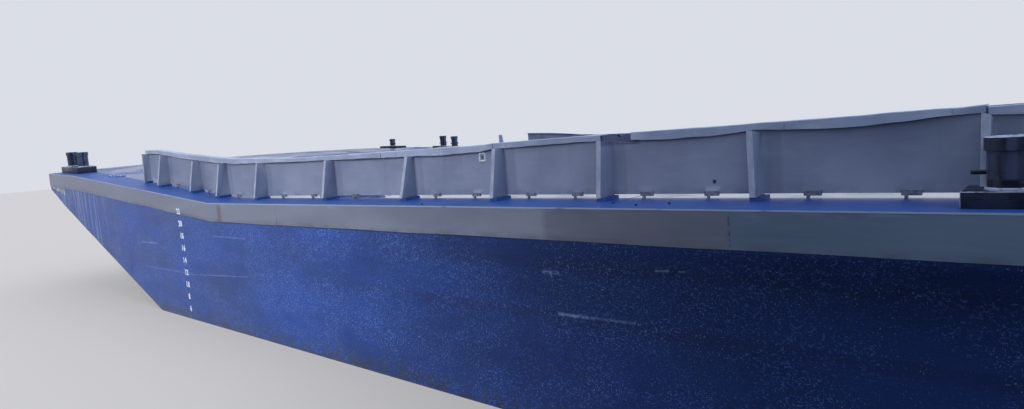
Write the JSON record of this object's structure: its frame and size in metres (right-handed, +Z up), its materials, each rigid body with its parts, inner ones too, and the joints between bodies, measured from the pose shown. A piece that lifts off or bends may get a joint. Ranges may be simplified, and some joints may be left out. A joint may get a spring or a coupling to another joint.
{
  "type": "river barge",
  "caption": "Flat-deck steel river barge with raked ends, sheer strakes, side boards on outboard brackets, cap rails, mooring bitts and hinged access hatches.",
  "frame": {"origin": "bottom centre of the bounding box, on the flat bottom at mid-length and mid-beam", "axes": "+X towards the bow, +Y to port, +Z up"},
  "size_m": [33.5, 10, 3.5157],
  "materials": {
    "hull_paint": "gloss cobalt blue, brushed on",
    "deck_paint": "gloss blue deck paint",
    "grey_paint": "satin mid grey",
    "board_paint": "satin blue grey",
    "cap_paint": "satin light grey",
    "bitts_paint": "worn black"
  },
  "bodies": {
    "barge": {"bitts_aft_port": "bitts_paint", "bitts_aft_stbd": "bitts_paint", "bitts_bow_port": "bitts_paint", "bitts_fore_stbd": "bitts_paint", "bitts_side_port": "bitts_paint", "bitts_side_stbd": "bitts_paint", "bollard_bow_stbd": "bitts_paint", "cap_rail_port_1": "cap_paint", "cap_rail_port_2": "cap_paint", "cap_rail_port_3": "cap_paint", "cap_rail_port_4": "cap_paint", "cap_rail_port_5": "cap_paint", "cap_rail_port_6": "cap_paint", "cap_rail_stbd_1": "cap_paint", "cap_rail_stbd_2": "cap_paint", "cap_rail_stbd_3": "cap_paint", "cap_rail_stbd_4": "cap_paint", "cap_rail_stbd_5": "cap_paint", "cap_rail_stbd_6": "cap_paint", "deck_aft": "deck_paint", "deck_fore": "deck_paint", "deck_main": "deck_paint", "hatch_coaming_aft_port": "deck_paint", "hatch_coaming_aft_stbd": "deck_paint", "hatch_coaming_fore_port": "deck_paint", "hatch_coaming_fore_stbd": "deck_paint", "headlog_plate": "grey_paint", "hull": "hull_paint", "lone_bracket_stbd": "board_paint", "manhole_cover_port": "deck_paint", "manhole_cover_stbd": "deck_paint", "sheer_strake_port": "grey_paint", "sheer_strake_stbd": "grey_paint", "side_board_port_aft": "board_paint", "side_board_port_fore": "board_paint", "side_board_port_mid": "board_paint", "side_board_stbd_aft": "board_paint", "side_board_stbd_fore": "board_paint", "side_board_stbd_mid": "board_paint", "skeg_port": "hull_paint", "skeg_stbd": "hull_paint", "transom_band": "grey_paint"},
    "lid_fore_port": {"hatch_lid_fore_port": "deck_paint"},
    "lid_fore_stbd": {"hatch_lid_fore_stbd": "deck_paint"},
    "lid_aft_port": {"hatch_lid_aft_port": "deck_paint"},
    "lid_aft_stbd": {"hatch_lid_aft_stbd": "deck_paint"}
  },
  "joints": [
    {"name": "lid_fore_port_hinge", "type": "hinge", "parent": "barge", "child": "lid_fore_port", "pos_m": [6.693, 3.25, 2.70287], "axis": [0, -1, 0], "range_deg": [0, 105]},
    {"name": "lid_fore_stbd_hinge", "type": "hinge", "parent": "barge", "child": "lid_fore_stbd", "pos_m": [6.693, -3.25, 2.70287], "axis": [0, -1, 0], "range_deg": [0, 105]},
    {"name": "lid_aft_port_hinge", "type": "hinge", "parent": "barge", "child": "lid_aft_port", "pos_m": [-15.392, 2.4, 2.71844], "axis": [0, -1, 0], "range_deg": [0, 105]},
    {"name": "lid_aft_stbd_hinge", "type": "hinge", "parent": "barge", "child": "lid_aft_stbd", "pos_m": [-15.392, -2.4, 2.71844], "axis": [0, -1, 0], "range_deg": [0, 105]}
  ]
}
